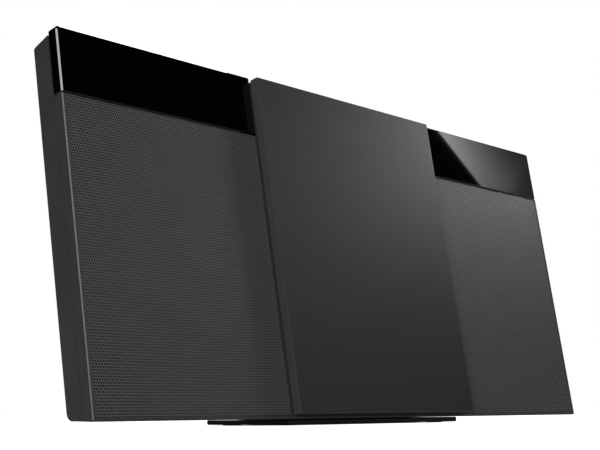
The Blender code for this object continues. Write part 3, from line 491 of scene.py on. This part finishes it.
def pad(centre, half, rise, square, steps=64, rings=5):
    """A low pad on the rear cover. Its outline is |x / half x| ^ n + |z / half z| ^ n = 1, and at a share s
    of the outline's reach its surface stands at the cover plus rise * (1 - s ^ 8) ^ (1/2). Its walls reach
    PAD_ROOT into the cover, where a flat face closes it."""
    turns = 2 * math.pi * np.arange(steps) / steps
    way = np.stack([np.cos(turns), np.sin(turns)], axis=1)
    outline = np.sign(way) * np.abs(way) ** (2 / square) * np.array(half)
    share = np.concatenate([[1.0], np.linspace(1, 0.15, rings)])
    depth = back + rise * np.sqrt(1 - share ** 8)
    depth[0] = back - PAD_ROOT
    across = np.array(centre) + share[:, None, None] * outline[None, :, :]
    points = np.stack([across[:, :, 0], np.repeat(depth[:, None], steps, axis=1), across[:, :, 1]], axis=2)
    tips = [(centre[0], depth[0], centre[1]), (centre[0], depth[-1], centre[1])]
    points = np.concatenate([points.reshape(-1, 3), tips])
    here, after = np.arange(steps), (np.arange(steps) + 1) % steps
    band = np.column_stack([here + steps, after + steps, after, here])
    last, tip = steps * rings, np.full(steps, steps * (rings + 1))
    foot = np.column_stack([tip, here, after])
    top = np.column_stack([tip + 1, after + last, here + last])
    return points, [*np.concatenate([band + steps * i for i in range(rings)]), *foot, *top]


plate_film = finish("plate_film", (0.35, 0.35, 0.36), 0.4, 0.6, grain=900.0, depth=0.002, mottle=0.04)
# The pad under the vent ribs is near-black and matt: painted shade that stands for the dark slots between the
# ribs.
vent_painted_shade = finish("vent_painted_shade", (0.004, 0.004, 0.004), 0.9, grain=900.0, depth=0.01)
plate_centre = (PLATE_PLACE[0], cover_low[2] + PLATE_PLACE[1])
points, faces = pad(plate_centre, PLATE_HALF, PLATE_RISE, SQUARE_CORNERS)
rating_plate = new_piece("rating_plate", points, faces, "cabinet", plate_film)
vent_foot = cover_high[2] - VENT_DROP
vent_centre = (0.0, vent_foot + RIB_PITCH * (RIB_COUNT - 1) / 2)
points, faces = pad(vent_centre, VENT_HALF, VENT_RISE, SQUARE_CORNERS)
vent = new_piece("vent_panel", points, faces, "cabinet", vent_painted_shade)
ribs = [
    pad((0.0, vent_foot + RIB_PITCH * i), RIB_HALF, RIB_RISE, ROUNDED_CORNERS, 48, 6)
    for i in range(RIB_COUNT)
]
vent_ribs = new_piece("vent_ribs", *gathered(ribs), "cabinet", moulded_black, True)
heads = [turned(np.array(SCREW_PROFILE) + (0.0, back), place, 32) for place in SCREW_PLACES]
cover_screws = new_piece("cover_screws", *gathered(heads), "cabinet", drawn_steel, True)

# Stand: a flat steel plate, painted satin black, on four thin rubber pads. The moulded neck above it is
# screwed to the plate and carries the cabinet.
painted_plate = finish("painted_plate", (0.022, 0.022, 0.023), 0.3, 0.3, grain=1800.0, depth=0.006)
dress(painted_plate, "stand_base")
pad_rubber = finish("pad_rubber", (0.012, 0.012, 0.012), 0.9, grain=1200.0, depth=0.03)
dress(pad_rubber, "foot_front_left", "foot_front_right", "foot_rear_left", "foot_rear_right")

# Studio: a pale floor under a white room, a soft box on each side, one above and one behind, and a small
# bright card at the right whose mirror image lies in the right window. The card's glow falls from its left
# edge to its right one and rises towards its top. The floor's own glow is dimmed under the stand: a painted
# shadow beneath the plate.
SOFT_BOXES = (    # name, azimuth and elevation in degrees, distance and size in metres, power in watts
    ("left_soft_box", -58, 22, 1.6, 0.8, 20.5),
    ("right_soft_box", 80, 26, 1.7, 0.3, 9.6),
    ("top_soft_box", 0, 86, 1.8, 1.0, 6),
    ("rear_soft_box", 150, 35, 1.8, 1.0, 16),
)
AIM_HEIGHT = 0.09
CARD_LEFT = ((1.104, -0.582, 0.599), (1.031, -0.582, 0.6915))
CARD_RIGHT = ((1.202, -0.547, 0.572), (1.200, -0.525, 0.6395))
CARD_OVERHANG = 0.3
CARD_FALL = 3.1
CARD_RISE = 4.0
CARD_FOOT = 0.35
CARD_LEAST = 0.2
FLOOR_REACH = 30.0
PAINTED_SHADOW_REACH = 0.003
FLOOR_SEEN = 1.05
FLOOR_LIT = 0.08
ROOM_SEEN = 1.0
ROOM_LIT = 0.008


def soft_box(name, azimuth, elevation, distance, size, power):
    """An area light aimed at the cabinet's middle from an azimuth (0 in front, 90 at its right)."""
    light = bpy.data.lights.new(name, "AREA")
    light.shape = "SQUARE"
    light.size = size
    light.energy = power
    lamp = bpy.data.objects.new(name, light)
    bpy.context.scene.collection.objects.link(lamp)
    turn, rise = math.radians(azimuth), math.radians(elevation)
    way = np.array([math.sin(turn) * math.cos(rise), -math.cos(turn) * math.cos(rise), math.sin(rise)])
    lamp.location = np.array([0.0, 0.0, AIM_HEIGHT]) + way * distance
    lamp.rotation_euler = (math.pi / 2 - rise, 0.0, turn)


def staged(name, corners, made):
    """A single four-cornered sheet of the studio, which is no part of the object."""
    mesh = bpy.data.meshes.new(name)
    mesh.from_pydata(corners, [], [(0, 1, 2, 3)])
    mesh.materials.append(made)
    sheet = bpy.data.objects.new(name, mesh)
    bpy.context.scene.collection.objects.link(sheet)
    return sheet


for box in SOFT_BOXES:
    soft_box(*box)

card_glow = bpy.data.materials.new("card_glow")
card_glow.use_nodes = True
tree = card_glow.node_tree
tree.nodes.remove(tree.nodes["Principled BSDF"])
emission = tree.nodes.new("ShaderNodeEmission")
tree.links.new(emission.outputs["Emission"], tree.nodes["Material Output"].inputs["Surface"])
coords = tree.nodes.new("ShaderNodeTexCoord")
split = tree.nodes.new("ShaderNodeSeparateXYZ")
tree.links.new(coords.outputs["UV"], split.inputs["Vector"])
fall = maths(tree, "POWER", maths(tree, "SUBTRACT", 1.0, split.outputs["X"]), CARD_FALL)
rise = maths(tree, "MULTIPLY_ADD", split.outputs["Y"], CARD_RISE, CARD_FOOT)
strength = maths(tree, "ADD", maths(tree, "MULTIPLY", fall, rise), CARD_LEAST)
tree.links.new(strength, emission.inputs["Strength"])
left_low, left_high = (np.array(corner) for corner in CARD_LEFT)
right_low, right_high = (np.array(corner) for corner in CARD_RIGHT)
left_over, right_over = (left_high - left_low) * CARD_OVERHANG, (right_high - right_low) * CARD_OVERHANG
corners = [left_low - left_over, right_low - right_over, right_high + right_over, left_high + left_over]
card = staged("window_card", corners, card_glow)
uv = card.data.uv_layers.new(name="card")
uv.data.foreach_set("uv", (0.0, 0.0, 1.0, 0.0, 1.0, 1.0, 0.0, 1.0))
card.visible_camera = False

floor_paint = bpy.data.materials.new("floor_paint")
floor_paint.use_nodes = True
tree = floor_paint.node_tree
shader = tree.nodes["Principled BSDF"]
shader.inputs["Base Color"].default_value = (0.35, 0.35, 0.35, 1.0)
shader.inputs["Roughness"].default_value = 0.9
shader.inputs["Emission Color"].default_value = (1.0, 1.0, 1.0, 1.0)
# The ambient occlusion node dims the floor's glow where the stand sits a few millimetres above it, so the
# floor carries a painted shadow under the plate.
painted_contact_shadow = tree.nodes.new("ShaderNodeAmbientOcclusion")
painted_contact_shadow.inputs["Distance"].default_value = PAINTED_SHADOW_REACH
path = tree.nodes.new("ShaderNodeLightPath")
share = tree.nodes.new("ShaderNodeMapRange")
share.inputs["To Min"].default_value = FLOOR_LIT
share.inputs["To Max"].default_value = FLOOR_SEEN
tree.links.new(path.outputs["Is Camera Ray"], share.inputs["Value"])
white = maths(tree, "MULTIPLY", painted_contact_shadow.outputs["AO"], share.outputs["Result"])
tree.links.new(white, shader.inputs["Emission Strength"])
reach = FLOOR_REACH
staged("floor", [(-reach, -reach, 0), (reach, -reach, 0), (reach, reach, 0), (-reach, reach, 0)], floor_paint)

world = bpy.data.worlds.new("white_room")
bpy.context.scene.world = world
world.use_nodes = True
tree = world.node_tree
backdrop = tree.nodes["Background"]
backdrop.inputs["Color"].default_value = (1.0, 1.0, 1.0, 1.0)
backdrop.inputs["Strength"].default_value = ROOM_SEEN
ambient = tree.nodes.new("ShaderNodeBackground")
ambient.inputs["Color"].default_value = (1.0, 1.0, 1.0, 1.0)
ambient.inputs["Strength"].default_value = ROOM_LIT
path = tree.nodes.new("ShaderNodeLightPath")
mix = tree.nodes.new("ShaderNodeMixShader")
tree.links.new(path.outputs["Is Camera Ray"], mix.inputs["Fac"])
tree.links.new(ambient.outputs["Background"], mix.inputs[1])
tree.links.new(backdrop.outputs["Background"], mix.inputs[2])
tree.links.new(mix.outputs["Shader"], tree.nodes["World Output"].inputs["Surface"])
bpy.context.scene.view_settings.view_transform = "Standard"

# Camera: low at the cabinet's left, just above the table, looking slightly up along the front. The lens is
# moved off its axis so that the cabinet fills the frame.
camera_data = bpy.data.cameras.new("camera")
camera_data.lens = 72.13
camera_data.shift_x = -0.12
camera_data.shift_y = 0.1
camera_data.clip_start = 0.02
camera = bpy.data.objects.new("camera", camera_data)
bpy.context.scene.collection.objects.link(camera)
camera.location = (-0.52113, -0.48119, 0.00575)
camera.rotation_euler = (math.radians(96.099), math.radians(0.661), math.radians(-49.127))
bpy.context.scene.camera = camera
